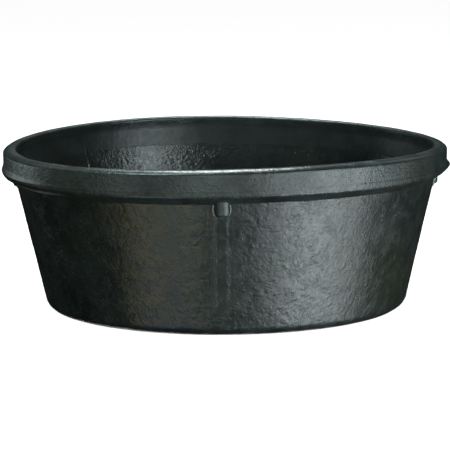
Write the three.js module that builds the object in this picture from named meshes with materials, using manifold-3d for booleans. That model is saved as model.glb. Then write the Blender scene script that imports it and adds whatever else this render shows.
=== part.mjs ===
// Round rubber tub for mixing mortar: a flared wall on a flat floor, a heavy rim band round the
// top, and four stacking lugs under the rim, each in a raised pocket at the head of a wall strip.
// Millimetres, +Z up, origin on the ground at the tub's axis. The front of the tub faces -Y.
import * as THREE from "three";
import { mergeVertices } from "three/addons/utils/BufferGeometryUtils.js";
import Module from "manifold-3d";

const wasm = await Module();
wasm.setup();

// ---- Driving dimensions ----
const TUB_HEIGHT = 185;
const BASE_RADIUS = 203.6; // outer wall line, carried down to the ground
const WALL_FLARE = 0.2318; // radius gained for each millimetre of height
const WALL_THICKNESS = 6.5;
const FLOOR_THICKNESS = 7;
const OUTER_CORNER = 13; // radius between wall and floor, outside
const INNER_CORNER = 18; // radius between wall and floor, inside

const RIM_RADIUS = 252; // outer face of the band
const RIM_INNER_RADIUS = 236.9;
const RIM_UNDERSIDE_HEIGHT = 148.4; // where the band's sloping underside meets the wall
const RIM_EDGE_HEIGHT = 156.5; // lower outer edge of the band
const RIM_EDGE_CHAMFER = 2.5;
const RIM_SEAT_HEIGHT = 170.8; // where the wall ends inside the band
const RIM_TOP_OUTER_ROUND = 9;
const RIM_TOP_INNER_ROUND = 5;
const LIP_RADIUS = 255; // mould parting line round the band
const LIP_HEIGHT = 164;
const LIP_EDGE = 1.6; // thickness of the lip's edge
const LIP_ROOT = 6; // thickness of the lip where it leaves the band
const COLLAR_STEP = 0.5; // the smooth collar inside stands this far proud of the wall below it
const COLLAR_BOTTOM = 150.3;

const LUG_COUNT = 4;
const LUG_RADIUS = 7.35;
const LUG_BOTTOM = 135;
const LUG_REACH = 6.5; // how far the lug stands off the wall at its bottom
const LUG_EDGE_ROUND = 2.2;
const POCKET_WIDTH = 20.5;
const POCKET_WALL = 2;
const POCKET_ROUND = 4.5;
const POCKET_BOTTOM = 131.6;
const POCKET_REACH = 3;
const STRIP_WIDTH = 18;
const STRIP_TOP = 130.6;
const STRIP_BOTTOM = 21;
const STRIP_PROUD = 0.7;
const BEAD_WIDTH = 1.6;
const BEAD_PROUD = 1.5;
const BURIED = 2; // how far a piece drawn on the wall starts inside it, before it is cut back

const GAP = 0.3; // left between neighbouring solids
const SIDES = 72; // facets round the tub, a multiple of LUG_COUNT
const LUG_SIDES = 24;

// ---- Worked out from the driving dimensions ----
const FLARE_ANGLE = Math.atan(WALL_FLARE);
const WALL_WIDTH = WALL_THICKNESS / Math.cos(FLARE_ANGLE); // wall thickness measured level
const outerWallRadius = (z) => BASE_RADIUS + WALL_FLARE * z;
const innerWallRadius = (z) => outerWallRadius(z) - WALL_WIDTH;
const LUG_AXIS_RADIUS = outerWallRadius(LUG_BOTTOM) + LUG_REACH - LUG_RADIUS;
const RIM_ROOT_RADIUS = outerWallRadius(RIM_UNDERSIDE_HEIGHT) + GAP;
const RIM_EDGE_RADIUS = RIM_RADIUS - RIM_EDGE_CHAMFER;
const UNDERSIDE_SLOPE = (RIM_EDGE_HEIGHT - RIM_UNDERSIDE_HEIGHT) / (RIM_EDGE_RADIUS - RIM_ROOT_RADIUS);

// ---- Profiles, as [radius, height] points ----
const arc = (centreR, centreZ, radius, from, to, steps) =>
  Array.from({ length: steps + 1 }, (_, i) => {
    const angle = from + ((to - from) * i) / steps;
    return [centreR + radius * Math.cos(angle), centreZ + radius * Math.sin(angle)];
  });

// The round between a level floor at floorZ and a wall line that flares as it rises. It runs from
// the floor's tangent point to the wall's, and wallLine gives the wall's radius at a height.
function cornerArc(wallLine, floorZ, radius, steps) {
  const centreZ = floorZ + radius;
  const centreR = wallLine(centreZ) - radius / Math.cos(FLARE_ANGLE);
  return arc(centreR, centreZ, radius, -Math.PI / 2, -FLARE_ANGLE, steps);
}

const innerCorner = cornerArc(innerWallRadius, FLOOR_THICKNESS, INNER_CORNER, 5);
const outerCorner = cornerArc(outerWallRadius, 0, OUTER_CORNER, 4);
const FLOOR_RADIUS = innerCorner[0][0];

// ---- Geometry helpers ----
// A closed profile turned round the Z axis.
function turned(profile, sides = SIDES) {
  const points = [...profile, profile[0]].map(([r, z]) => new THREE.Vector2(r, z));
  return new THREE.LatheGeometry(points, sides).rotateX(Math.PI / 2);
}

// A profile that starts and ends on the axis, turned round the Z axis.
function turnedSolid(profile, sides = SIDES) {
  const points = profile.map(([r, z]) => new THREE.Vector2(r, z));
  return new THREE.LatheGeometry(points, sides).rotateX(Math.PI / 2);
}

function toSolid(geometry) {
  const bare = geometry.index ? geometry.toNonIndexed() : geometry.clone();
  bare.deleteAttribute("normal");
  bare.deleteAttribute("uv");
  const merged = mergeVertices(bare, 1e-3);
  return new wasm.Manifold(
    new wasm.Mesh({
      numProp: 3,
      vertProperties: merged.attributes.position.array,
      triVerts: new Uint32Array(merged.index.array),
    }),
  );
}

function toGeometry(solid) {
  const mesh = solid.getMesh();
  const geometry = new THREE.BufferGeometry();
  geometry.setAttribute("position", new THREE.BufferAttribute(mesh.vertProperties, 3));
  geometry.setIndex(new THREE.BufferAttribute(mesh.triVerts, 1));
  geometry.computeVertexNormals();
  return geometry;
}

// Everything that the wall and the rim fill, grown by the gap and carried on past the object.
// What is fixed to the outside of the wall is cut back to it.
function tubGrown() {
  const beyond = 20;
  const lowest = -beyond;
  const highest = TUB_HEIGHT + beyond;
  const widest = RIM_RADIUS + beyond;
  const drop = GAP * Math.hypot(1, UNDERSIDE_SLOPE);
  const rootHeight = RIM_UNDERSIDE_HEIGHT - drop;
  return toSolid(
    turnedSolid([
      [0, lowest],
      [outerWallRadius(lowest) + GAP, lowest],
      [RIM_ROOT_RADIUS, rootHeight],
      [widest, rootHeight + UNDERSIDE_SLOPE * (widest - RIM_ROOT_RADIUS)],
      [widest, highest],
      [0, highest],
    ]),
  );
}

const tubBody = tubGrown();
const fittedOutside = (geometry) => toGeometry(toSolid(geometry).subtract(tubBody));

// ---- Materials ----
const wallRubber = new THREE.MeshStandardMaterial({ color: 0x1f2423, roughness: 0.6, metalness: 0 });
const rimRubber = new THREE.MeshStandardMaterial({ color: 0x242a29, roughness: 0.5, metalness: 0 });
const lugRubber = new THREE.MeshStandardMaterial({ color: 0x272c2c, roughness: 0.45, metalness: 0 });

// ---- Sub-parts ----
// Flared wall with the rounded foot that carries the floor, and the smooth collar at its top.
function sideWall() {
  const top = RIM_SEAT_HEIGHT - GAP;
  const collarInner = (z) => innerWallRadius(z) - COLLAR_STEP;
  const belowCollar = COLLAR_BOTTOM - 2 * COLLAR_STEP;
  const profile = [
    [FLOOR_RADIUS + GAP, 0],
    ...outerCorner,
    [outerWallRadius(top), top],
    [collarInner(top), top],
    [collarInner(COLLAR_BOTTOM), COLLAR_BOTTOM],
    [innerWallRadius(belowCollar), belowCollar],
    ...innerCorner.slice(1).reverse(),
    [FLOOR_RADIUS + GAP, FLOOR_THICKNESS],
  ];
  return new THREE.Mesh(turned(profile), wallRubber);
}

// Flat floor disc, flush with the wall's foot above and below.
function floorPanel() {
  const profile = [
    [0, 0],
    [FLOOR_RADIUS, 0],
    [FLOOR_RADIUS, FLOOR_THICKNESS],
    [0, FLOOR_THICKNESS],
  ];
  return new THREE.Mesh(turnedSolid(profile), wallRubber);
}

// Heavy band that caps the wall and hangs down outside it, with the parting lip round its face.
function rimBand() {
  const seat = RIM_SEAT_HEIGHT;
  const outerRound = RIM_TOP_OUTER_ROUND;
  const innerRound = RIM_TOP_INNER_ROUND;
  const topLeft = [RIM_INNER_RADIUS + innerRound, TUB_HEIGHT - innerRound];
  const topRight = [RIM_RADIUS - outerRound, TUB_HEIGHT - outerRound];
  const profile = [
    [RIM_ROOT_RADIUS, RIM_UNDERSIDE_HEIGHT],
    [RIM_EDGE_RADIUS, RIM_EDGE_HEIGHT],
    [RIM_RADIUS, RIM_EDGE_HEIGHT + RIM_EDGE_CHAMFER],
    [RIM_RADIUS, LIP_HEIGHT - LIP_ROOT / 2],
    [LIP_RADIUS, LIP_HEIGHT - LIP_EDGE / 2],
    [LIP_RADIUS, LIP_HEIGHT + LIP_EDGE / 2],
    [RIM_RADIUS, LIP_HEIGHT + LIP_ROOT / 2],
    ...arc(...topRight, outerRound, 0, Math.PI / 2, 5),
    ...arc(...topLeft, innerRound, Math.PI / 2, Math.PI, 4),
    [RIM_INNER_RADIUS, seat],
    [outerWallRadius(seat) + GAP, seat],
  ];
  return new THREE.Mesh(turned(profile), rimRubber);
}

// Upright round peg that a nested tub's rim comes to rest against.
function lug() {
  const round = LUG_EDGE_ROUND;
  const profile = [
    [0, LUG_BOTTOM],
    ...arc(LUG_RADIUS - round, LUG_BOTTOM + round, round, -Math.PI / 2, 0, 3),
    [LUG_RADIUS, RIM_EDGE_HEIGHT],
    [0, RIM_EDGE_HEIGHT],
  ];
  const peg = turnedSolid(profile, LUG_SIDES).translate(0, -LUG_AXIS_RADIUS, 0);
  return new THREE.Mesh(fittedOutside(peg), lugRubber);
}

// Places a geometry drawn on the wall: x across, y up the wall from the ground, z out of the wall.
function ontoWall(geometry) {
  return geometry.rotateX(Math.PI / 2 + FLARE_ANGLE).translate(0, -BASE_RADIUS, 0);
}

const upTheWall = (z) => z / Math.cos(FLARE_ANGLE);

// Thin U-shaped wall round a lug, open at the top under the rim.
function lugPocket() {
  const half = POCKET_WIDTH / 2;
  const innerHalf = half - POCKET_WALL;
  const outerRound = POCKET_ROUND;
  const innerRound = POCKET_ROUND - POCKET_WALL;
  const top = upTheWall(RIM_EDGE_HEIGHT);
  const bottom = upTheWall(POCKET_BOTTOM);
  const centreX = half - outerRound;
  const centreY = bottom + outerRound;
  const outline = new THREE.Shape();
  outline.moveTo(half, top);
  outline.lineTo(innerHalf, top);
  outline.lineTo(innerHalf, centreY);
  outline.absarc(centreX, centreY, innerRound, 0, -Math.PI / 2, true);
  outline.absarc(-centreX, centreY, innerRound, -Math.PI / 2, -Math.PI, true);
  outline.lineTo(-innerHalf, top);
  outline.lineTo(-half, top);
  outline.lineTo(-half, centreY);
  outline.absarc(-centreX, centreY, outerRound, -Math.PI, -Math.PI / 2, false);
  outline.absarc(centreX, centreY, outerRound, -Math.PI / 2, 0, false);
  outline.closePath();
  const slab = new THREE.ExtrudeGeometry(outline, {
    depth: POCKET_REACH + BURIED,
    bevelEnabled: false,
    curveSegments: 5,
  }).translate(0, 0, -BURIED);
  return new THREE.Mesh(fittedOutside(ontoWall(slab)), lugRubber);
}

// Raised strip down the wall below a pocket, with a bead along each edge.
function wallStrip() {
  const half = STRIP_WIDTH / 2;
  const section = new THREE.Shape();
  section.moveTo(-half, -BURIED);
  section.lineTo(half, -BURIED);
  section.lineTo(half, STRIP_PROUD);
  section.lineTo(half - BEAD_WIDTH / 2, BEAD_PROUD);
  section.lineTo(half - BEAD_WIDTH, STRIP_PROUD);
  section.lineTo(-half + BEAD_WIDTH, STRIP_PROUD);
  section.lineTo(-half + BEAD_WIDTH / 2, BEAD_PROUD);
  section.lineTo(-half, STRIP_PROUD);
  section.closePath();
  const length = upTheWall(STRIP_TOP - STRIP_BOTTOM);
  const strip = new THREE.ExtrudeGeometry(section, { depth: length, bevelEnabled: false })
    .rotateX(Math.PI / 2)
    .translate(0, upTheWall(STRIP_TOP), 0);
  return new THREE.Mesh(fittedOutside(ontoWall(strip)), wallRubber);
}

// ---- Assembly ----
const tub = new THREE.Group();

function add(mesh, name, turn = 0) {
  mesh.name = name;
  mesh.rotation.z = turn;
  tub.add(mesh);
}

add(sideWall(), "side_wall");
add(floorPanel(), "floor_panel");
add(rimBand(), "rim_band");
["front", "right", "back", "left"].forEach((side, i) => {
  const turn = (i * 2 * Math.PI) / LUG_COUNT;
  add(lug(), `stacking_lug_${side}`, turn);
  add(lugPocket(), `lug_pocket_${side}`, turn);
  add(wallStrip(), `wall_strip_${side}`, turn);
});

export default tub;
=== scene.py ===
"""Looks for the round rubber mortar mixing tub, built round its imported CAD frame.

Metres, +Z up, the tub's axis on the origin. Azimuth 0 is the front of the tub, towards -Y, and
azimuth 90 degrees is its right side, towards +X.
"""
import itertools
import math

import bpy
import numpy as np
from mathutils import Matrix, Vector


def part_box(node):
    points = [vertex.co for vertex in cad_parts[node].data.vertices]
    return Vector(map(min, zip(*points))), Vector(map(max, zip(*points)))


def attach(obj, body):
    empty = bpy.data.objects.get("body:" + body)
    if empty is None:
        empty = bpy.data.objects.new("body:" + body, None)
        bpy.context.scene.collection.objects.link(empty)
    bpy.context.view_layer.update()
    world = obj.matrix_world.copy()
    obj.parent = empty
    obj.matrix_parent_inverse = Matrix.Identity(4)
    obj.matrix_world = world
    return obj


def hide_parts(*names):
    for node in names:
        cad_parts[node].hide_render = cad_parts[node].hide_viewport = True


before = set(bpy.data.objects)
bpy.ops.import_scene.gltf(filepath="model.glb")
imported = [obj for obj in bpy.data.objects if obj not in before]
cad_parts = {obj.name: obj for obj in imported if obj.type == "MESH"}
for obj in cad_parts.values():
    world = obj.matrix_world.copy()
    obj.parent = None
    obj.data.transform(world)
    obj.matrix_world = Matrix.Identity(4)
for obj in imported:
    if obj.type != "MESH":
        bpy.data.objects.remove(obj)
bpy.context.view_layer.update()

MM = 0.001

# ---- Sizes, from the frame where it has them ----
wall_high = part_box("side_wall")[1]
floor_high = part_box("floor_panel")[1]
rim_low, rim_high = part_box("rim_band")
lug_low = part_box("stacking_lug_front")[0]
strip_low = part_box("wall_strip_front")[0]

WALL_FLARE = 0.2318  # radius gained for each metre of height
WALL_THICKNESS = 6.5 * MM
OUTER_CORNER = 13 * MM  # radius between the wall and the floor, outside
INNER_CORNER = 18 * MM  # and inside
COLLAR_BOTTOM = 153 * MM  # of the smooth collar at the top of the inside
COLLAR_TOP = 174.6 * MM
COLLAR_STEP = 0.12 * MM  # how far the collar stands in from the wall below it

WALL_TOP = wall_high.z
BASE_RADIUS = wall_high.x - WALL_FLARE * WALL_TOP
FLOOR_RADIUS = floor_high.x
FLOOR_TOP = floor_high.z
TUB_HEIGHT = rim_high.z
LIP_RADIUS = rim_high.x

RIM_RADIUS = LIP_RADIUS - 3 * MM  # outer face of the band
RIM_INNER_RADIUS = 236.9 * MM
RIM_ROOT = rim_low.z  # where the band's underside leaves the wall
UNDERSIDE_SLOPE = 0.5
LIP_HEIGHT = 163.4 * MM
LIP_DIP = 3.0 * MM  # how much lower the lip runs at the two sides
LIP_RIGHT = 92  # azimuths, in degrees, of the two places where the lip stands out most
LIP_LEFT = -88
SHOULDER = 1.6 * MM  # radius between the band's outer face and its crown
CROWN = 11 * MM  # radius of the crown, the round on top of the band
CROWN_START = math.radians(41)
CROWN_HEIGHT = TUB_HEIGHT - CROWN * (1 - math.sin(CROWN_START))
SHOULDER_HEIGHT = CROWN_HEIGHT - SHOULDER * math.sin(CROWN_START)
INNER_ROUND = 3 * MM  # radius on top of the band, inside
INNER_ROUND_CENTRE = (RIM_INNER_RADIUS + INNER_ROUND, TUB_HEIGHT - INNER_ROUND)

LUG_RADIUS = 7.6 * MM
LUG_AXIS_RADIUS = -lug_low.y + 0.6 * MM - LUG_RADIUS
LUG_BOTTOM = lug_low.z

FLARE_ANGLE = math.atan(WALL_FLARE)
LEVEL_THICKNESS = WALL_THICKNESS / math.cos(FLARE_ANGLE)  # of the wall, measured level
MEAN_RADIUS = BASE_RADIUS + WALL_FLARE * TUB_HEIGHT / 2
SIDES = {"front": 0, "right": 90, "back": 180, "left": 270}

FLOW_SWING = 95 * MM  # how far the flow marks swing up and down, three times round the wall
FLOW_TURN = 0.7  # radians of that swing before it peaks


def outer_radius(z):
    """Radius of the wall's outer face at a height."""
    return BASE_RADIUS + WALL_FLARE * z


def inner_radius(z):
    """Radius of the wall's inner face at a height."""
    return outer_radius(z) - LEVEL_THICKNESS


def collar_radius(z):
    """Radius of the smooth collar at the top of the inside."""
    return inner_radius(z) - COLLAR_STEP


def up_wall(z):
    """Length up the wall's slope from the ground to a height."""
    return z / math.cos(FLARE_ANGLE)


# ---- Noise ----
NOISE_GAIN = 1.6  # brings the noise's peaks to about 1


def lattice_hash(cells, seed):
    """Pseudo-random whole numbers under 2**32, the same for the same lattice cells and seed."""
    h = (cells[..., 0] * 73856093) ^ (cells[..., 1] * 19349663) ^ (cells[..., 2] * 83492791)
    h = (h ^ (seed * 2654435761)) & 0xFFFFFFFF
    h = ((h ^ (h >> 16)) * 0x45D9F3B) & 0xFFFFFFFF
    h = ((h ^ (h >> 16)) * 0x45D9F3B) & 0xFFFFFFFF
    return h ^ (h >> 16)


def noise(points, cell, seed):
    """Smooth noise from about -1 to 1 whose features are about cell metres across."""
    scaled = points / cell
    base = np.floor(scaled).astype(np.int64)
    inside = scaled - base
    fade = inside**3 * (inside * (inside * 6 - 15) + 10)
    total = np.zeros(scaled.shape[:-1])
    for corner in itertools.product((0, 1), repeat=3):
        # The hash's low half gives the gradient's rise, and its high half gives its turn.
        h = lattice_hash(base + corner, seed)
        up = (h & 0xFFFF) / 0x8000 - 1
        turn = (h >> 16) * (2 * np.pi / 0x10000)
        level = np.sqrt(np.maximum(0, 1 - up**2))
        away = inside - corner
        slope = away[..., 0] * level * np.cos(turn)
        slope += away[..., 1] * level * np.sin(turn)
        slope += away[..., 2] * up
        weight = np.prod(np.where(corner, fade, 1 - fade), axis=-1)
        total += weight * slope
    return total * NOISE_GAIN


def ramp(value, low, high):
    """0 below low, 1 above high, and smooth between them."""
    t = np.clip((value - low) / (high - low), 0, 1)
    return t * t * (3 - 2 * t)


def bump(value, centre, width):
    """A smooth hump of height 1 about centre."""
    return np.exp(-(((value - centre) / width) ** 2))


# ---- Profiles, as (radius, height) points in order round the section, anticlockwise ----
def straight(start, end, step):
    """A straight run of points about step apart."""
    count = max(1, round(math.dist(start, end) / step))
    return np.linspace(start, end, count + 1)


def arc(centre, radius, start, end, step):
    """Points about step apart on a round, from one angle to another."""
    count = max(2, round(abs(end - start) * radius / step))
    angle = np.linspace(start, end, count + 1)
    return np.column_stack([centre[0] + radius * np.cos(angle), centre[1] + radius * np.sin(angle)])


def bend(start, corner, end, step):
    """A smooth curve from start to end that rounds off a corner."""
    count = max(3, round((math.dist(start, corner) + math.dist(corner, end)) / step))
    t = np.linspace(0, 1, count + 1)[:, None]
    pull = 2 * t * (1 - t) * np.array(corner)
    return (1 - t) ** 2 * np.array(start) + pull + t**2 * np.array(end)


def joined(*stretches):
    """One closed profile from stretches that meet end to end."""
    return np.vstack([stretch[:-1] for stretch in stretches])


def corner_round(radius_at, floor_z, radius, step):
    """The round from a level floor up to a flared wall."""
    centre_z = floor_z + radius
    centre = (radius_at(centre_z) - radius / math.cos(FLARE_ANGLE), centre_z)
    return arc(centre, radius, -math.pi / 2, -FLARE_ANGLE, step)


# ---- Meshes ----
def make_object(name, points, quads, uv):
    """A smooth mesh object from (n, 3) points and (m, 4) quads, with a UV for each quad corner."""
    mesh = bpy.data.meshes.new(name)
    mesh.vertices.add(len(points))
    mesh.vertices.foreach_set("co", np.ascontiguousarray(points, np.float32).ravel())
    mesh.loops.add(quads.size)
    mesh.loops.foreach_set("vertex_index", np.ascontiguousarray(quads, np.int32).ravel())
    mesh.polygons.add(len(quads))
    mesh.polygons.foreach_set("loop_start", np.arange(0, quads.size, 4, dtype=np.int32))
    mesh.polygons.foreach_set("use_smooth", np.ones(len(quads), bool))
    mesh.update(calc_edges=True)
    layer = mesh.uv_layers.new(name="Skin")
    layer.data.foreach_set("uv", np.ascontiguousarray(uv, np.float32).ravel())
    mesh.validate()
    piece = bpy.data.objects.new(name, mesh)
    bpy.context.scene.collection.objects.link(piece)
    return piece


def placed(radius, azimuth, z):
    """Points in the tub's frame from cylindrical places."""
    return np.stack([radius * np.sin(azimuth), -radius * np.cos(azimuth), z + 0 * azimuth], axis=-1)


def skin(azimuth, run):
    """UV of a place: metres round the tub, and metres up it measured across the flow marks."""
    across_flow = run + FLOW_SWING * np.cos(3 * azimuth - FLOW_TURN)
    return np.stack([(azimuth + np.pi) * MEAN_RADIUS, across_flow], axis=-1)


class Turned:
    """A closed profile turned round Z, as (columns, rows) grids of places and normals."""

    def __init__(self, profile, columns):
        # The seam is at the back, under the back wall strip.
        self.azimuth = (np.arange(columns) * 2 * np.pi / columns - np.pi)[:, None]
        self.radius = profile[None, :, 0]
        self.z = profile[None, :, 1]
        tangent = np.roll(profile, -1, 0) - np.roll(profile, 1, 0)
        tangent /= np.linalg.norm(tangent, axis=1)[:, None]
        self.normal_r = tangent[None, :, 1]
        self.normal_z = -tangent[None, :, 0]
        steps = np.linalg.norm(np.diff(profile, axis=0), axis=1)
        self.run = np.concatenate([[0], np.cumsum(steps)])
        self.shape = (columns, len(profile))

    def points(self, lift=0.0, rise=0.0, out=0.0):
        """Places moved by lift along the normal, by rise up and by out away from the axis."""
        radius = self.radius + self.normal_r * lift + out + 0 * self.azimuth
        z = self.z + self.normal_z * lift + rise + 0 * self.azimuth
        return placed(radius, self.azimuth, z)

    def quads(self):
        """The grid's quads, closed both round the axis and round the profile."""
        columns, rows = self.shape
        column, row = np.meshgrid(np.arange(columns), np.arange(rows), indexing="ij")
        after, above = (column + 1) % columns, (row + 1) % rows
        corners = [(column, row), (after, row), (after, above), (column, above)]
        return np.stack([c * rows + r for c, r in corners], axis=-1).reshape(-1, 4)

    def uv(self):
        """UVs for the quads' corners, with no jump back to the start where the grid closes."""
        columns, rows = self.shape
        column, row = np.meshgrid(np.arange(columns), np.arange(rows), indexing="ij")
        run = np.append(self.run, self.run[-1] + np.ptp(self.run[-2:]))
        corners = [(column, row), (column + 1, row), (column + 1, row + 1), (column, row + 1)]
        azimuths = [c * 2 * np.pi / columns - np.pi for c, _ in corners]
        return np.stack([skin(a, run[r]) for a, (_, r) in zip(azimuths, corners)], axis=-2)

    def make(self, name, lift, rise=0.0, out=0.0):
        """The mesh object of the moved places."""
        points = settled(self.points(lift, rise, out).reshape(-1, 3))
        return make_object(name, points, self.quads(), self.uv())


def grid_quads(across, along, flip=False):
    """Quads of an open grid whose points run along first."""
    i, j = np.meshgrid(np.arange(across - 1), np.arange(along - 1), indexing="ij")
    corners = [(i, j), (i + 1, j), (i + 1, j + 1), (i, j + 1)]
    if flip:
        corners.reverse()
    return np.stack([a * along + b for a, b in corners], axis=-1).reshape(-1, 4)


def slab(upper, lower):
    """Points and quads of the closed slab between two open grids of one shape."""
    across, along = upper.shape[:2]
    count = across * along
    under = grid_quads(across, along, flip=True) + count
    index = np.arange(count).reshape(across, along)
    loop = np.concatenate([index[:-1, 0], index[-1, :-1], index[:0:-1, -1], index[0, :0:-1]])
    after = np.roll(loop, -1)
    edge = np.stack([loop + count, after + count, after, loop], axis=-1)
    points = np.vstack([upper.reshape(-1, 3), lower.reshape(-1, 3)])
    return points, np.vstack([grid_quads(across, along), under, edge])


def tube_quads(rings, around):
    """Quads of a tube of rings, with its two ends closed by quads across them."""
    i, j = np.meshgrid(np.arange(rings - 1), np.arange(around), indexing="ij")
    after = (j + 1) % around
    corners = [(i, j), (i + 1, j), (i + 1, after), (i, after)]
    side = np.stack([a * around + b for a, b in corners], axis=-1).reshape(-1, 4)
    strip = np.arange(around // 2 - 1)
    cap = np.stack([strip, strip + 1, around - 2 - strip, around - 1 - strip], axis=-1)
    end = cap[:, ::-1] + (rings - 1) * around
    return np.vstack([side, cap, end])


# ---- The moulding's irregular surface ----
WARP = 2.75 * MM  # how far the rim waves up and down, twice round the tub
WARP_PEAK = math.radians(22)
TILT = 0.5 * MM  # and how far it leans as a whole
TILT_PEAK = math.radians(130)

MARK_ENDS = 3  # how many of its own widths past its ends a mark's patch reaches
DIMPLED_SHARE = 0.45  # of the marks, those with a ridge on one side and a groove on the other
RIDGED_SHARE = 0.75  # up to here they are ridges, and the rest are grooves


def settled(points):
    """The tub's own slight warp, which grows from nothing at the floor to the rim."""
    moved = points.copy()
    share = np.clip((points[:, 2] - FLOOR_TOP) / (TUB_HEIGHT - FLOOR_TOP), 0, 1)
    azimuth = np.arctan2(points[:, 0], -points[:, 1])
    wave = WARP * np.cos(2 * (azimuth - WARP_PEAK)) + TILT * np.cos(azimuth - TILT_PEAK) - TILT
    moved[:, 2] += share * wave
    return moved


def skin_layers(places):
    """The heights of the rubber's broad swells, wrinkles and fine wrinkles."""
    broad = noise(places, 48 * MM, 11) * 0.28 * MM + noise(places, 19 * MM, 12) * 0.16 * MM
    wrinkles = noise(places, 7 * MM, 13) * 0.09 * MM
    fine = noise(places, 3.6 * MM, 14) * 0.05 * MM
    return broad, wrinkles, fine


def flow(azimuth):
    """Direction of the rubber's flow marks on the wall, in radians up from level."""
    return np.arctan(3 * FLOW_SWING / MEAN_RADIUS * np.sin(3 * azimuth - FLOW_TURN))


def mark_section(kind, across):
    """The height across a mark: a ridge beside a groove, a ridge or a groove."""
    if kind < DIMPLED_SHARE:
        return 2.2 * across * np.exp(-(across**2))
    if kind < RIDGED_SHARE:
        return np.exp(-(across**2))
    return -np.exp(-(across**2))


def scattered_marks(turned, rows, count, seed, size, height, low_bias=0.0):
    """Short curved folds, ridges and grooves over some rows of a turned surface."""
    draw = np.random.default_rng(seed)
    lift = np.zeros(turned.shape)
    run = turned.run[rows]
    columns = turned.shape[0]
    column_width = 2 * np.pi / columns
    for _ in range(count):
        place = draw.random() ** (1 + low_bias)
        centre_run = run[0] + place * (run[-1] - run[0])
        centre_azimuth = draw.uniform(-np.pi, np.pi)
        length = size * draw.uniform(0.5, 1.6)
        width = size * draw.uniform(0.17, 0.28)
        strength = height * draw.uniform(0.3, 1.0)
        curve = draw.normal(0, 0.03) / size
        kind = draw.random()
        angle = flow(centre_azimuth) + draw.normal(0, 0.45)
        reach = length / 2 + MARK_ENDS * width
        low = np.searchsorted(run, centre_run - reach)
        high = np.searchsorted(run, centre_run + reach)
        half = int(reach / MEAN_RADIUS / column_width) + 1
        middle = int(round((centre_azimuth + np.pi) / column_width))
        near = np.arange(middle - half, middle + half + 1)
        x = (near * column_width - np.pi - centre_azimuth)[:, None] * MEAN_RADIUS
        y = (run[low:high] - centre_run)[None, :]
        along = x * math.cos(angle) + y * math.sin(angle)
        across = (y * math.cos(angle) - x * math.sin(angle) + curve * along**2) / width
        taper = np.clip(1 - (2 * along / length) ** 2, 0, 1)
        patch = np.ix_(near % columns, np.arange(rows.start + low, rows.start + high))
        lift[patch] += strength * taper * mark_section(kind, across)
    return lift


# ---- Materials ----
def socket_set(tree, socket, value):
    """Links a node's output into a socket, or sets the socket to a plain value."""
    if isinstance(value, bpy.types.NodeSocket):
        tree.links.new(value, socket)
    else:
        socket.default_value = value


def add_node(tree, kind, inputs, **settings):
    """A node with its inputs set or linked."""
    made = tree.nodes.new(kind)
    for name, value in settings.items():
        setattr(made, name, value)
    for name, value in inputs.items():
        socket_set(tree, made.inputs[name], value)
    return made


def noise_node(tree, vector, size, detail, roughness):
    """A noise whose features are about size metres across."""
    inputs = {"Vector": vector, "Scale": 1 / size, "Detail": detail, "Roughness": roughness}
    return add_node(tree, "ShaderNodeTexNoise", inputs).outputs["Fac"]


def mapping_node(tree, inputs):
    """A vector that is turned and then stretched."""
    return add_node(tree, "ShaderNodeMapping", inputs, vector_type="POINT").outputs["Vector"]


def stretched(tree, vector, angle, along, across):
    """A noise drawn out into streaks at an angle in the UV plane."""
    turned = mapping_node(tree, {"Vector": vector, "Rotation": (0, 0, -angle)})
    scaled = mapping_node(tree, {"Vector": turned, "Scale": (1 / along, 1 / across, 1 / across)})
    return noise_node(tree, scaled, 1.0, 2.0, 0.6)


def mapped(tree, value, low, high, to_low, to_high):
    """A value carried smoothly from one range to another, and held at its ends."""
    inputs = {
        "Value": value,
        "From Min": low,
        "From Max": high,
        "To Min": to_low,
        "To Max": to_high,
    }
    made = add_node(tree, "ShaderNodeMapRange", inputs, interpolation_type="SMOOTHSTEP")
    return made.outputs["Result"]


def math_node(tree, operation, first, second):
    """The result of an operation on two values."""
    made = tree.nodes.new("ShaderNodeMath")
    made.operation = operation
    socket_set(tree, made.inputs[0], first)
    socket_set(tree, made.inputs[1], second)
    return made.outputs[0]


def mixed(tree, share, first, second):
    """A colour between two colours."""
    made = tree.nodes.new("ShaderNodeMix")
    made.data_type = "RGBA"
    # Its colour sockets come after those for numbers and vectors.
    socket_set(tree, made.inputs["Factor"], share)
    socket_set(tree, made.inputs[6], first)
    socket_set(tree, made.inputs[7], second)
    return made.outputs[2]


def bump_node(tree, distance, inputs):
    """A normal bent by a height whose full range is distance metres."""
    inputs = {"Strength": 1.0, "Distance": distance, **inputs}
    return add_node(tree, "ShaderNodeBump", inputs).outputs["Normal"]


def crease_lines(tree, place, unrolled, fibres):
    """Thin creases of several directions, which come and go in patches."""
    creases = 0.0
    for angle, along, across in fibres:
        streak = stretched(tree, unrolled, angle, along, across)
        off_line = math_node(tree, "ABSOLUTE", math_node(tree, "SUBTRACT", streak, 0.5), 0.0)
        creases = math_node(tree, "MAXIMUM", creases, mapped(tree, off_line, 0.0, 0.09, 1.0, 0.0))
    patches = noise_node(tree, place, 14 * MM, 2.0, 0.6)
    return math_node(tree, "MULTIPLY", creases, mapped(tree, patches, 0.42, 0.6, 0.1, 1.0))


def rubber_colour(tree, tone, mottle, bloom, creases):
    """Mottled black, with a brownish bloom and pale flecks along the creases."""
    dark = [channel * 0.72 for channel in tone] + [1]
    light = [channel * 1.35 for channel in tone] + [1]
    brown = [tone[0] * 1.55, tone[1] * 1.25, tone[2] * 0.75, 1]
    pale = [channel * 3.2 for channel in tone] + [1]
    colour = mixed(tree, mapped(tree, mottle, 0.35, 0.65, 0.0, 1.0), dark, light)
    colour = mixed(tree, mapped(tree, bloom, 0.5, 0.72, 0.0, 0.65), colour, brown)
    return mixed(tree, mapped(tree, creases, 0.5, 1.0, 0.0, 0.25), colour, pale)


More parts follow.
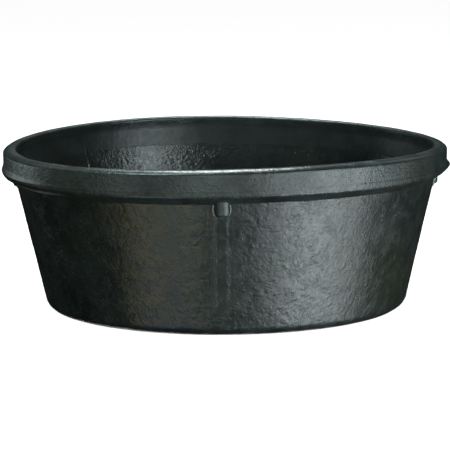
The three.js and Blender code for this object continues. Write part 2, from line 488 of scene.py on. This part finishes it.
def rubber(name, tone, roughness, fibres, grain_depth=0.15 * MM, fibre_depth=0.11 * MM):
    """Black fibre-filled rubber with a fine grain. Each of fibres is (angle, length, width)."""
    material = bpy.data.materials.new(name)
    material.use_nodes = True
    tree = material.node_tree
    shader = tree.nodes["Principled BSDF"]
    place = add_node(tree, "ShaderNodeTexCoord", {}).outputs["Object"]
    unrolled = add_node(tree, "ShaderNodeUVMap", {}, uv_map="Skin").outputs["UV"]

    mottle = noise_node(tree, place, 45 * MM, 4.0, 0.55)
    bloom = noise_node(tree, place, 130 * MM, 3.0, 0.5)
    grain = noise_node(tree, place, 2.2 * MM, 0.0, 0.5)
    pores = noise_node(tree, place, 4.5 * MM, 2.0, 0.5)
    creases = crease_lines(tree, place, unrolled, fibres)
    colour = rubber_colour(tree, tone, mottle, bloom, creases)

    sheen = math_node(tree, "ADD", mapped(tree, mottle, 0.3, 0.7, -0.02, 0.03), roughness)
    sheen = math_node(tree, "ADD", sheen, mapped(tree, pores, 0.35, 0.65, -0.02, 0.03))

    grain = math_node(tree, "MULTIPLY", grain, mapped(tree, mottle, 0.38, 0.58, 0.45, 1.1))
    relief = bump_node(tree, grain_depth, {"Height": grain})
    relief = bump_node(tree, fibre_depth, {"Height": creases, "Normal": relief})

    socket_set(tree, shader.inputs["Base Color"], colour)
    socket_set(tree, shader.inputs["Roughness"], sheen)
    socket_set(tree, shader.inputs["Normal"], relief)
    shader.inputs["Metallic"].default_value = 0.0
    shader.inputs["IOR"].default_value = 1.5
    return material


WALL_TONE = (0.0088, 0.0116, 0.0112)
RIM_TONE = (0.012, 0.016, 0.0158)
# The inside's tone is darker than the wall's: painted shade for the inside of the tub.
SHADED_INNER_TONE = (0.007, 0.0095, 0.0095)
# The pockets' ridges get a pale tone: a painted highlight that makes them show as thin bright
# lines.
RIDGE_HIGHLIGHT_TONE = (0.075, 0.085, 0.08)
LUG_TONE = (0.013, 0.017, 0.017)
FIBRES = [(0.35, 15 * MM, 5 * MM), (-0.35, 12 * MM, 4.5 * MM), (0.0, 9 * MM, 4 * MM)]
INNER_FIBRES = [(1.2, 7 * MM, 3.2 * MM), (2.0, 6 * MM, 3 * MM), (1.6, 5 * MM, 3 * MM)]
RIM_FIBRES = [(1.5, 9 * MM, 4.5 * MM), (0.8, 8 * MM, 4.5 * MM)]
wall_material = rubber("wall_rubber", WALL_TONE, 0.32, FIBRES)
rim_material = rubber("rim_rubber", RIM_TONE, 0.32, RIM_FIBRES, 0.25 * MM, 0.08 * MM)
inner_material = rubber("inner_rubber", SHADED_INNER_TONE, 0.3, INNER_FIBRES, 0.33 * MM, 0.05 * MM)
collar_material = rubber("collar_rubber", SHADED_INNER_TONE, 0.42, FIBRES, 0.03 * MM, 0.0)
ridge_highlight_material = rubber("ridge_highlight_rubber", RIDGE_HIGHLIGHT_TONE, 0.36, RIM_FIBRES, 0.08 * MM, 0.0)
lug_material = rubber("lug_rubber", LUG_TONE, 0.35, RIM_FIBRES, 0.08 * MM, 0.0)


def finish_piece(piece, material, slot, *nodes):
    """Gives a piece its material and its place in the frame."""
    piece.data.materials.append(material)
    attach(piece, "root")
    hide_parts(*nodes)


def add_material(piece, material, faces):
    """Gives a second material to the faces that are marked 1."""
    piece.data.materials.append(material)
    piece.data.polygons.foreach_set("material_index", faces)


# ---- Side wall ----
COLUMNS = 1152
FINE = 1.25 * MM  # length of the outer face's quads, up the wall
RECESS = 1.5 * MM  # how far the wall is cut back behind the collar
PITTED_BAND = 42 * MM  # height of the band below the collar with the finest mesh inside
RING_HEIGHT = 142.5 * MM
RING_HALF_WIDTH = 9.4 * MM
RING_HALF_HEIGHT = 10.4 * MM
RING_SHIFT = 0.9 * MM  # each ring sits a little to one side of its lug
RING_BED = 0.9 * MM  # how far the wall drops away inside each ring
LUG_SHIFT = 0.1 * MM
STRIP_HALF = 9 * MM
STRIP_BED = 1.1 * MM  # how far the wall drops away behind each strip
FLOOR_LAP = 3.5 * MM  # how far the wall and the floor lap each other, so that no edge shows
LAP_ROUND = 5 * MM  # radius on which the wall turns down under the floor
INNER_SEAM = math.radians(-133.5)  # where a thin line of flash runs down inside the tub
SEAM_LEAN = 0.35  # radians that it turns round the tub for each metre up


def flash_line(turned, places):
    """The thin line of flash that runs down inside the tub."""
    azimuth = INNER_SEAM + SEAM_LEAN * (turned.z - COLLAR_BOTTOM)
    line = bump((turned.azimuth - azimuth) * MEAN_RADIUS, 0, 0.7 * MM)
    return line * (0.75 + 0.6 * noise(places * [0, 0, 1], 9 * MM, 17))


def in_ring(x, z):
    """1 inside the ring round a lug and 0 outside it, x round the wall from the lug's middle."""
    away = np.hypot((x + RING_SHIFT) / RING_HALF_WIDTH, (z - RING_HEIGHT) / RING_HALF_HEIGHT)
    return ramp(-away, -1, -0.8)


def hollows(wall):
    """Depth of the wall's outer face below its plain flare, at the lugs and behind the strips."""
    depth = 0
    for degrees in SIDES.values():
        turn = wall.azimuth - math.radians(degrees)
        x = np.arctan2(np.sin(turn), np.cos(turn)) * outer_radius(wall.z)
        bed = ramp(-np.abs(x), -STRIP_HALF - 3.4 * MM, -STRIP_HALF - 0.5 * MM)
        bed = bed * ramp(wall.z, strip_low.z, strip_low.z + 6 * MM) * (wall.z < RING_HEIGHT)
        depth = depth + np.maximum(in_ring(x, wall.z) * RING_BED, bed * STRIP_BED)
    return depth


def wall_stretches():
    """The wall's section as named stretches, from under the tub, up the outside and back down."""
    outer_corner = corner_round(outer_radius, 0, OUTER_CORNER, 1.5 * MM)
    inner_corner = corner_round(inner_radius, FLOOR_TOP, INNER_CORNER, 2 * MM)[::-1]
    lap_centre = (inner_corner[-1][0], FLOOR_TOP - LAP_ROUND)
    lap_end = math.pi / 2 + FLOOR_LAP / LAP_ROUND
    lap = arc(lap_centre, LAP_ROUND, math.pi / 2, lap_end, 0.8 * MM)
    foot = (FLOOR_RADIUS, 0)
    top_outer = (outer_radius(WALL_TOP), WALL_TOP)
    top_inner = (inner_radius(WALL_TOP) + RECESS, WALL_TOP)
    collar_edge = (inner_radius(COLLAR_BOTTOM + RECESS) + RECESS, COLLAR_BOTTOM + RECESS)
    below_edge = (inner_radius(COLLAR_BOTTOM), COLLAR_BOTTOM)
    band_low = (inner_radius(COLLAR_BOTTOM - PITTED_BAND), COLLAR_BOTTOM - PITTED_BAND)
    return {
        "underside": straight(foot, outer_corner[0], 3 * MM),
        "outer_corner": outer_corner,
        "outer_face": straight(outer_corner[-1], top_outer, FINE),
        "top": straight(top_outer, top_inner, 2.5 * MM),
        "recess": straight(top_inner, collar_edge, 2.2 * MM),
        "recess_edge": straight(collar_edge, below_edge, 0.4 * MM),
        "pitted_band": straight(below_edge, band_low, 1.1 * MM),
        "inner_face": straight(band_low, inner_corner[0], 2.2 * MM),
        "inner_corner": inner_corner,
        "lap": lap,
        "floor_side": straight(lap[-1], foot, 3.5 * MM),
    }


def outer_relief(wall, layers, low_row, high_row):
    """The irregular skin outside, from one row up to another, and its beds for lugs and strips."""
    broad, wrinkles, fine = layers
    row = np.arange(wall.shape[1])[None, :]
    outside = ramp(row, low_row, low_row + 6) * (row < high_row)
    low_part = 1 + 0.15 * ramp(-wall.z, -55 * MM, -15 * MM)
    lift = outside * (broad + low_part * (wrinkles + fine))
    lift -= outside * hollows(wall)
    marks = scattered_marks(
        wall,
        slice(low_row, high_row),
        count=6500,
        seed=21,
        size=5.0 * MM,
        height=0.22 * MM,
        low_bias=0.3,
    )
    return lift + outside * marks


def inner_relief(wall, places, layers, high_row, low_row):
    """The pitted skin inside, from one row down to another, smooth towards the collar."""
    broad, wrinkles, fine = layers
    row = np.arange(wall.shape[1])[None, :]
    inside = (row >= high_row) * ramp(-row, -low_row, -low_row + 4)
    fade_start = COLLAR_BOTTOM - 9 * MM + noise(places, 14 * MM, 18) * 6 * MM
    rough = inside * (1 - 0.9 * ramp(wall.z, fade_start, fade_start + 6 * MM))
    lift = inside * broad * 0.8 + rough * (wrinkles * 0.6 + fine * 2.4)
    lift += inside * flash_line(wall, places) * (wall.z > 2 * INNER_CORNER) * 0.95 * MM
    marks = scattered_marks(
        wall,
        slice(high_row, low_row),
        count=14000,
        seed=22,
        size=3.8 * MM,
        height=0.46 * MM,
    )
    return lift + rough * marks


def build_wall():
    """The flared wall, and a mark for each of its faces: 1 inside the tub and 0 outside."""
    stretches = wall_stretches()
    lengths = [len(stretch) - 1 for stretch in stretches.values()]
    first = dict(zip(stretches, np.cumsum([0] + lengths)))
    wall = Turned(joined(*stretches.values()), COLUMNS)
    places = wall.points()
    layers = skin_layers(places)
    lift = outer_relief(wall, layers, first["outer_corner"], first["top"])
    lift += inner_relief(wall, places, layers, first["pitted_band"], first["lap"])
    row_inside = np.arange(wall.shape[1]) >= first["recess_edge"]
    return wall.make("tub_wall", lift), np.tile(row_inside.astype(np.int32), COLUMNS)


wall_piece, wall_faces_inside = build_wall()
finish_piece(wall_piece, wall_material, "wall_rubber", "side_wall")
add_material(wall_piece, inner_material, wall_faces_inside)


# ---- Floor ----
def build_floor():
    """The floor disc, all quads, whose upper face laps under the wall's inner corner."""
    count = 190
    u, v = np.meshgrid(np.linspace(-1, 1, count), np.linspace(-1, 1, count), indexing="ij")
    x = FLOOR_RADIUS * u * np.sqrt(1 - v**2 / 2)
    y = FLOOR_RADIUS * v * np.sqrt(1 - u**2 / 2)
    spread = 1 + FLOOR_LAP / FLOOR_RADIUS
    upper = np.stack([x * spread, y * spread, np.full_like(x, FLOOR_TOP)], axis=-1)
    lower = np.stack([x, y, np.zeros_like(x)], axis=-1)
    in_from_edge = ramp(FLOOR_RADIUS - np.hypot(x, y) * spread, 0, 6 * MM)
    relief = noise(upper, 48 * MM, 11) * 0.2 * MM + noise(upper, 7 * MM, 13) * 0.14 * MM
    relief += noise(upper, 3.9 * MM, 15) * 0.1 * MM
    upper[..., 2] += in_from_edge * relief
    lower[..., 2] += in_from_edge * np.abs(noise(lower, 30 * MM, 16)) * 0.5 * MM
    points, quads = slab(upper, lower)
    uv = points[quads][..., :2] + MEAN_RADIUS
    return make_object("tub_floor", points, quads, uv)


floor_piece = build_floor()
finish_piece(floor_piece, inner_material, "wall_rubber", "floor_panel")


# ---- Rim band ----
ROOT_BEND = 1.6 * MM  # how far from the root its round leaves the wall and the underside
RIM_ROOT_RADIUS = outer_radius(RIM_ROOT)
# Height of the band's lower outer edge, and where its underside starts to run straight.
RIM_EDGE = RIM_ROOT + (RIM_RADIUS - RIM_ROOT_RADIUS) * UNDERSIDE_SLOPE
UNDERSIDE_START = (RIM_ROOT_RADIUS + ROOT_BEND, RIM_ROOT + ROOT_BEND * UNDERSIDE_SLOPE)


def rim_profile():
    """The band's section: underside, outer face, crown, inside, collar and its buried back."""
    start_z = RIM_ROOT - ROOT_BEND
    start = (outer_radius(start_z) - 0.3 * MM, start_z)
    root = (RIM_ROOT_RADIUS, RIM_ROOT)
    edge = (RIM_RADIUS, RIM_EDGE)
    before_edge = (edge[0] - 3 * MM, edge[1] - 3 * MM * UNDERSIDE_SLOPE)
    after_edge = (edge[0], edge[1] + 4.4 * MM)
    shoulder = arc((RIM_RADIUS - SHOULDER, SHOULDER_HEIGHT), SHOULDER, 0, CROWN_START, 0.6 * MM)
    crown_centre = (shoulder[-1][0] - CROWN * math.cos(CROWN_START), TUB_HEIGHT - CROWN)
    crown = arc(crown_centre, CROWN, CROWN_START, math.pi / 2, 0.8 * MM)
    inner_round = arc(INNER_ROUND_CENTRE, INNER_ROUND, math.pi / 2, math.pi, 0.8 * MM)
    collar_top = (collar_radius(COLLAR_TOP - 3 * MM), COLLAR_TOP - 3 * MM)
    above_collar = (RIM_INNER_RADIUS, COLLAR_TOP + 3 * MM)
    collar_foot = (collar_radius(COLLAR_BOTTOM), COLLAR_BOTTOM)
    sunk_foot = (inner_radius(COLLAR_BOTTOM - 5 * MM) + 0.5 * MM, COLLAR_BOTTOM - 5 * MM)
    under_foot = (sunk_foot[0] + 0.6 * MM, sunk_foot[1])
    return joined(
        bend(start, root, UNDERSIDE_START, 0.8 * MM),
        straight(UNDERSIDE_START, before_edge, 1.3 * MM),
        bend(before_edge, edge, after_edge, 0.5 * MM),
        straight(after_edge, shoulder[0], 0.6 * MM),
        shoulder,
        crown,
        straight(crown[-1], inner_round[0], 0.5 * MM),
        inner_round,
        straight(inner_round[-1], above_collar, 1.5 * MM),
        bend(above_collar, (RIM_INNER_RADIUS, COLLAR_TOP), collar_top, 1 * MM),
        straight(collar_top, collar_foot, 1.6 * MM),
        straight(collar_foot, sunk_foot, 0.8 * MM),
        straight(sunk_foot, under_foot, 0.6 * MM),
        straight(under_foot, start, 2.5 * MM),
    )


def rim_relief(rim):
    """The band's uneven skin, and the line of flash where it crosses the collar's foot."""
    places = rim.points()
    lift = noise(places, 48 * MM, 11) * 0.22 * MM + noise(places, 14 * MM, 32) * 0.12 * MM
    lift += noise(places, 4.5 * MM, 33) * 0.09 * MM
    collar = collar_radius(rim.z)
    at_collar_foot = (rim.radius < collar + 0.5 * MM) * (rim.z < COLLAR_BOTTOM + 7 * MM)
    lift += flash_line(rim, places) * at_collar_foot * 0.7 * MM
    buried = (rim.radius < UNDERSIDE_START[0]) * (rim.radius > collar + 1 * MM)
    return lift * (1 - buried * (rim.z < UNDERSIDE_START[1]))


def along_lip(degrees, plain, right, left):
    """A length round the lip: plain millimetres, and (more, spread) at its two proud places."""
    more_right, right_spread = right
    more_left, left_spread = left
    at_right = more_right * bump(degrees, LIP_RIGHT, right_spread)
    at_left = more_left * bump(degrees, LIP_LEFT, left_spread)
    return (plain + at_right + at_left) * MM


def lip_moves(rim):
    """How far the lip moves the band's plain section out, and how far up at the right side."""
    degrees = np.degrees(rim.azimuth)
    ragged = noise(placed(RIM_RADIUS, rim.azimuth, np.zeros(1)), 16 * MM, 35)
    proud = along_lip(degrees, 0.16 + 0.16 * ragged, (3.9, 17), (1.9, 24))
    height = LIP_HEIGHT - LIP_DIP * np.abs(np.sin(rim.azimuth)) ** 3
    height = height + 1.1 * MM * bump(degrees, LIP_RIGHT, 30)
    reach = along_lip(degrees, 0.7, (4.8, 24), (7.0, 34))
    above = np.clip(1 - (rim.z - height) / reach, 0, 1) * (rim.z >= height)
    fall = along_lip(degrees, 2.4, (5.6, 26), (5.6, 34))
    below = np.clip(1 - (height - rim.z) / fall, 0, 1) * (rim.z < height)
    outer_face = rim.radius > RIM_RADIUS - 9 * MM
    out = proud * (above**1.1 + below) * outer_face
    # At the right side the underside runs straight up to the lip.
    up_underside = (rim.radius - RIM_ROOT_RADIUS) / (RIM_RADIUS - RIM_ROOT_RADIUS)
    up_underside = np.clip(up_underside, 0, 1) * (rim.z < RIM_EDGE + 1 * MM)
    up_face = np.clip((height - rim.z) / (height - RIM_EDGE), 0, 1) * outer_face
    share = np.where(rim.z < RIM_EDGE, up_underside, up_face)
    return out, 2.6 * MM * bump(degrees, LIP_RIGHT, 26) * share


def build_rim():
    """The heavy band, and a mark for each of its faces: 1 on the collar and 0 elsewhere."""
    profile = rim_profile()
    rim = Turned(profile, COLUMNS)
    out, rise = lip_moves(rim)
    piece = rim.make("tub_rim", rim_relief(rim), rise, out)
    low_inside = profile[:, 0] < RIM_INNER_RADIUS + 1 * MM
    row_inside = low_inside * (profile[:, 1] < COLLAR_TOP + 3 * MM)
    return piece, np.tile(row_inside.astype(np.int32), COLUMNS)


rim_piece, rim_faces_inside = build_rim()
finish_piece(rim_piece, rim_material, "rim_rubber", "rim_band")
add_material(rim_piece, collar_material, rim_faces_inside)


# ---- Lugs, pockets and strips, drawn at the front and turned to each side ----
LUG_FOOT_ROUND = 4.2 * MM
LUG_CORE = 0.4 * MM  # radius of the fine hole up a lug's middle that keeps its mesh all quads
LUG_BURIED = 3 * MM  # how far a lug's back is sunk in the wall
LUG_FILLET = 1.2 * MM
LUG_SQUARENESS = 2.3  # 2 is a round peg
# How far each lug ends above the CAD's.
LUG_ENDS = {"front": -1.6 * MM, "right": 2.4 * MM, "back": -1.6 * MM, "left": 2.4 * MM}
RIDGE_HALF_WIDTH = 0.95 * MM
STRIP_REACH = STRIP_HALF + 4.8 * MM  # half a strip's mesh, with the edges that sink in the wall
STRIP_BURIED = 2.2 * MM  # how far a strip's back is sunk in the wall


def turned_about_axis(points, degrees):
    """Points drawn at the front, turned about the tub's axis to another side."""
    angle = math.radians(degrees)
    c, s = math.cos(angle), math.sin(angle)
    moved = points.copy()
    moved[:, 0] = points[:, 0] * c - points[:, 1] * s
    moved[:, 1] = points[:, 0] * s + points[:, 1] * c
    return moved


def flat_uv(points, quads):
    """UVs in metres across and up, for a piece drawn at the front."""
    return points[quads][..., [0, 2]] + MEAN_RADIUS


def on_wall(x, run, proud):
    """Points at the front of the wall: x round it, run up it from the ground, proud out of it."""
    z = run * math.cos(FLARE_ANGLE)
    azimuth = x / outer_radius(z)
    radius = outer_radius(z) + proud * math.cos(FLARE_ANGLE)
    return placed(radius, azimuth, z - proud * math.sin(FLARE_ANGLE))


def lug_profile(bottom):
    """A lug's section from its fine hole, round its foot and up its side."""
    top = RIM_ROOT + 7 * MM
    start = (LUG_CORE, bottom)
    foot_centre = (LUG_RADIUS - LUG_FOOT_ROUND, bottom + LUG_FOOT_ROUND)
    foot = arc(foot_centre, LUG_FOOT_ROUND, -math.pi / 2, 0, 0.35 * MM)
    return joined(
        straight(start, foot[0], 0.6 * MM),
        foot,
        straight(foot[-1], (LUG_RADIUS, top), 0.6 * MM),
        straight((LUG_RADIUS, top), (LUG_CORE, top), 2 * MM),
        straight((LUG_CORE, top), start, 4 * MM),
    )


def build_lug(side, degrees):
    """An upright peg with a rounded foot and a small root fillet against the wall."""
    lug = Turned(lug_profile(LUG_BOTTOM + LUG_ENDS[side]), 72)
    points = lug.points().reshape(-1, 3)
    angle = np.arctan2(points[:, 1], points[:, 0])
    squarer = np.abs(np.cos(angle)) ** LUG_SQUARENESS + np.abs(np.sin(angle)) ** LUG_SQUARENESS
    points[:, :2] *= (squarer ** (-1 / LUG_SQUARENESS))[:, None]
    points[:, 0] += LUG_SHIFT
    uneven = noise(points + degrees, 6 * MM, 41) * 0.12 * MM
    points[:, 0] += uneven
    # Keep the buried side inside the wall, and spread the root where it meets the wall.
    z = points[:, 2]
    wall_radius = outer_radius(z)
    out = np.maximum(LUG_AXIS_RADIUS - points[:, 1] - wall_radius, -LUG_BURIED)
    root = np.clip(LUG_FILLET - out, 0, LUG_FILLET) ** 2 / (2 * LUG_FILLET)
    points[:, 0] += np.sign(points[:, 0]) * root * ramp(np.abs(points[:, 0]), 2 * MM, 6 * MM)
    points[:, 2] -= root * ramp(-z, -LUG_BOTTOM - 3 * MM, -LUG_BOTTOM)
    points[:, 1] = -(wall_radius + out) - uneven
    quads = lug.quads()
    uv = flat_uv(points, quads)
    points = settled(turned_about_axis(points, degrees))
    return make_object(f"tub_lug_{side}", points, quads, uv)


def ridge_path():
    """The middle line of a pocket's ridge, as (round the wall, up the wall)."""
    turn = np.linspace(0.86 * math.pi, 2.14 * math.pi, 90)
    round_x = np.sign(np.cos(turn)) * np.abs(np.cos(turn)) ** 0.85
    round_run = np.sign(np.sin(turn)) * np.abs(np.sin(turn)) ** 0.85
    x = RING_HALF_WIDTH * round_x - RING_SHIFT
    return np.column_stack([x, up_wall(RING_HEIGHT) + RING_HALF_HEIGHT * round_run])


def build_pocket(side, degrees):
    """A thin rounded ridge that runs down one side of a lug, under it and up the other side."""
    path = ridge_path()
    tangent = np.gradient(path, axis=0)
    tangent /= np.linalg.norm(tangent, axis=1)[:, None]
    up_path = (path[:, 1] - path[:, 1].min()) / RING_HALF_HEIGHT
    tall = (0.3 + 1.7 * ramp(up_path, 0.1, 0.6)) * MM
    ragged = 1 + 0.18 * noise(np.column_stack([path, path[:, 0] * 0 + degrees]), 3 * MM, 51)
    section = np.linspace(0, 2 * np.pi, 16, endpoint=False)
    side_step = RIDGE_HALF_WIDTH * np.cos(section)[None, :]
    proud = (tall * ragged)[:, None] * np.maximum(np.sin(section), -0.5)[None, :]
    x = path[:, None, 0] + tangent[:, None, 1] * side_step
    run = path[:, None, 1] - tangent[:, None, 0] * side_step
    points = on_wall(x, run, proud).reshape(-1, 3)
    quads = tube_quads(len(path), len(section))
    uv = flat_uv(points, quads)
    points = settled(turned_about_axis(points, degrees))
    return make_object(f"tub_pocket_{side}", points, quads, uv)


def strip_relief(x, run, degrees):
    """How far a strip stands out: a fine bead at its left edge and a soft groove at its right."""
    z = run * math.cos(FLARE_ANGLE)
    up_strip = np.stack([0 * run, run, 0 * run + degrees], axis=-1)
    wander = 0.5 * MM * noise(up_strip, 22 * MM, 61)
    ragged = 0.85 + 0.4 * noise(up_strip, 15 * MM, 62)
    left, right = -STRIP_HALF + wander, STRIP_HALF + wander
    # The bead and the groove are in millimetres until they fade in above the strip's foot.
    proud = 0.3 * ramp(x, left - 1.5 * MM, left + 2 * MM) + 0.3 * bump(x, left + 1 * MM, 1 * MM)
    proud -= 0.65 * ragged * ramp(x, right - 7 * MM, right)
    proud += (0.65 * ragged - 0.3) * ramp(x, right + 0.3 * MM, right + 2.4 * MM)
    proud *= ramp(z, strip_low.z, strip_low.z + 22 * MM) * MM
    proud -= in_ring(x, z) * RING_BED
    proud -= 0.4 * MM * ramp(np.abs(x), STRIP_REACH - 1.6 * MM, STRIP_REACH + 0.4 * MM)
    proud -= 0.5 * MM * ramp(-z, -strip_low.z - 5 * MM, -strip_low.z + 1 * MM)
    broad, wrinkles, fine = skin_layers(on_wall(x, run, 0 * x))
    return proud + broad + (wrinkles + fine)


def build_strip(side, degrees):
    """A shallow strip down the wall below a lug."""
    across = np.linspace(-STRIP_REACH, STRIP_REACH, 64)
    along = np.linspace(up_wall(strip_low.z - 2 * MM), up_wall(RING_HEIGHT), 150)
    x, run = np.meshgrid(across, along, indexing="ij")
    upper = on_wall(x, run, strip_relief(x, run, degrees))
    lower = on_wall(x, run, 0 * x - STRIP_BURIED)
    points, quads = slab(upper, lower)
    # The strip's UVs carry on the wall's, whose azimuths run from -180 to 180 degrees.
    azimuth = np.arctan2(points[:, 0], -points[:, 1]) + math.radians((degrees + 90) % 360 - 90)
    uv = skin(azimuth, up_wall(points[:, 2]))[quads]
    points = settled(turned_about_axis(points, degrees))
    return make_object(f"tub_strip_{side}", points, quads, uv)


for side, degrees in SIDES.items():
    finish_piece(build_lug(side, degrees), lug_material, "lug_rubber", f"stacking_lug_{side}")
    # The ridges' pale tone is a painted highlight.
    finish_piece(build_pocket(side, degrees), ridge_highlight_material, "lug_rubber", f"lug_pocket_{side}")
    finish_piece(build_strip(side, degrees), wall_material, "wall_rubber", f"wall_strip_{side}")


# ---- Floor of the studio ----
def build_stage():
    """A large pale floor that only the camera sees, so that it doesn't light the black rubber."""
    mesh = bpy.data.meshes.new("studio_floor")
    reach = 30.0
    z = -0.2 * MM
    corners = [(-reach, -reach, z), (reach, -reach, z), (reach, reach, z), (-reach, reach, z)]
    mesh.from_pydata(corners, [], [(0, 1, 2, 3)])
    stage = bpy.data.objects.new("studio_floor", mesh)
    bpy.context.scene.collection.objects.link(stage)
    material = bpy.data.materials.new("studio_floor")
    material.use_nodes = True
    shader = material.node_tree.nodes["Principled BSDF"]
    shader.inputs["Base Color"].default_value = (0.4, 0.4, 0.4, 1)
    shader.inputs["Roughness"].default_value = 0.9
    shader.inputs["Specular IOR Level"].default_value = 0.0
    shader.inputs["Emission Color"].default_value = (1, 1, 1, 1)
    shader.inputs["Emission Strength"].default_value = 0.97
    stage.data.materials.append(material)
    stage.visible_glossy = False
    stage.visible_diffuse = False
    stage.visible_shadow = False


build_stage()


# ---- Light ----
LAMP_DISTANCE = 2.0  # from the middle of the tub to every light

KEY_TINT = (0.88, 0.98, 1.0)
HIGH_KEY_TINT = (0.82, 0.98, 1.0)
COOL_TINT = (0.84, 1.0, 0.99)
OLIVE_TINT = (0.95, 1.0, 0.75)
AMBER_TINT = (1.0, 0.86, 0.42)
BLUE_TINT = (0.2, 0.4, 1.0)
GREEN_TINT = (0.7, 1.0, 0.92)
WARM_TINT = (1.0, 0.95, 0.88)


def softbox(name, azimuth, elevation, width, height, power, colour):
    """A rectangular light that faces the middle of the tub, with its angles in degrees."""
    light = bpy.data.lights.new(name, "AREA")
    light.shape = "RECTANGLE"
    light.size = width
    light.size_y = height
    light.energy = power
    light.color = colour
    lamp = bpy.data.objects.new(name, light)
    bpy.context.scene.collection.objects.link(lamp)
    a, e = math.radians(azimuth), math.radians(elevation)
    target = np.array([0, 0, TUB_HEIGHT / 2])
    away = np.array([math.sin(a) * math.cos(e), -math.cos(a) * math.cos(e), math.sin(e)])
    lamp.location = target + LAMP_DISTANCE * away
    lamp.rotation_euler = (math.pi / 2 - e, 0, a)
    lamp.visible_camera = False


def light_right():
    """The key: a low curved bank of light at the right, brightest at its middle."""
    for azimuth, power in ((28, 3.7), (44, 8.3), (60, 7.2), (76, 3.9)):
        softbox(f"key_{azimuth}", azimuth, -27, 0.5, 0.45, power, KEY_TINT)
    softbox("key_middle", 60, -6, 1.2, 0.4, 16.2, KEY_TINT)
    softbox("key_left", 28, -6, 0.7, 0.4, 6, KEY_TINT)
    softbox("key_right", 92, -8, 0.5, 0.35, 1.6, KEY_TINT)
    softbox("key_up", 45, 14, 1.2, 0.4, 14, HIGH_KEY_TINT)
    softbox("inside", 52, 27, 0.5, 0.4, 5, KEY_TINT)


def light_left():
    """The front and the left, which are dimmer, and a little warm low down."""
    softbox("front", -8, 2, 1.0, 0.8, 6.4, COOL_TINT)
    softbox("front_low", -18, -27, 0.5, 0.45, 2.1, OLIVE_TINT)
    softbox("warm_low", -43, -27, 0.7, 0.45, 2.5, AMBER_TINT)
    softbox("cool_floor", -42, -42, 0.6, 0.45, 1.6, BLUE_TINT)
    softbox("left_middle", -50, 2, 0.8, 0.8, 3.2, COOL_TINT)
    softbox("left", -85, 2, 0.8, 0.8, 0.7, COOL_TINT)
    softbox("left_far", -118, 4, 0.8, 0.7, 3.4, COOL_TINT)


def light_top_and_back():
    """The light on top of the rim, from above and behind, and a low one for the back wall."""
    softbox("top", 184, 65, 0.6, 1.3, 45, KEY_TINT)
    softbox("top_left", -60, 62, 0.6, 0.6, 18, GREEN_TINT)
    softbox("top_right_back", 135, 40, 0.6, 0.6, 1.3, COOL_TINT)
    softbox("top_left_back", 225, 40, 0.6, 0.6, 0.8, COOL_TINT)
    softbox("back_low", 186, -43, 1.2, 0.4, 5, WARM_TINT)


def dim_world():
    """A faint even light from all round."""
    world = bpy.data.worlds.new("studio")
    bpy.context.scene.world = world
    world.use_nodes = True
    sky = world.node_tree.nodes["Background"]
    sky.inputs["Color"].default_value = (0.9, 0.97, 1.0, 1)
    sky.inputs["Strength"].default_value = 0.003


light_right()
light_left()
light_top_and_back()
dim_world()


# ---- Camera ----
def place_camera():
    """A long lens from just above the rim, a little to the right of the front."""
    camera = bpy.data.cameras.new("camera")
    camera.sensor_width = 36
    camera.lens = 213.97
    camera.clip_end = 100
    viewer = bpy.data.objects.new("camera", camera)
    bpy.context.scene.collection.objects.link(viewer)
    azimuth = math.radians(0.8)
    distance, height = 3.0215, 0.5648
    side = -0.0007
    pitch = 0.1561
    roll = 0.0081
    viewer.location = (
        distance * math.sin(azimuth) + side * math.cos(azimuth),
        -distance * math.cos(azimuth) + side * math.sin(azimuth),
        height,
    )
    turn = Matrix.Rotation(azimuth, 4, "Z") @ Matrix.Rotation(math.pi / 2 - pitch, 4, "X")
    turn = turn @ Matrix.Rotation(-roll, 4, "Z")
    viewer.rotation_euler = turn.to_euler()
    bpy.context.scene.camera = viewer


place_camera()
bpy.context.scene.view_settings.view_transform = "Standard"
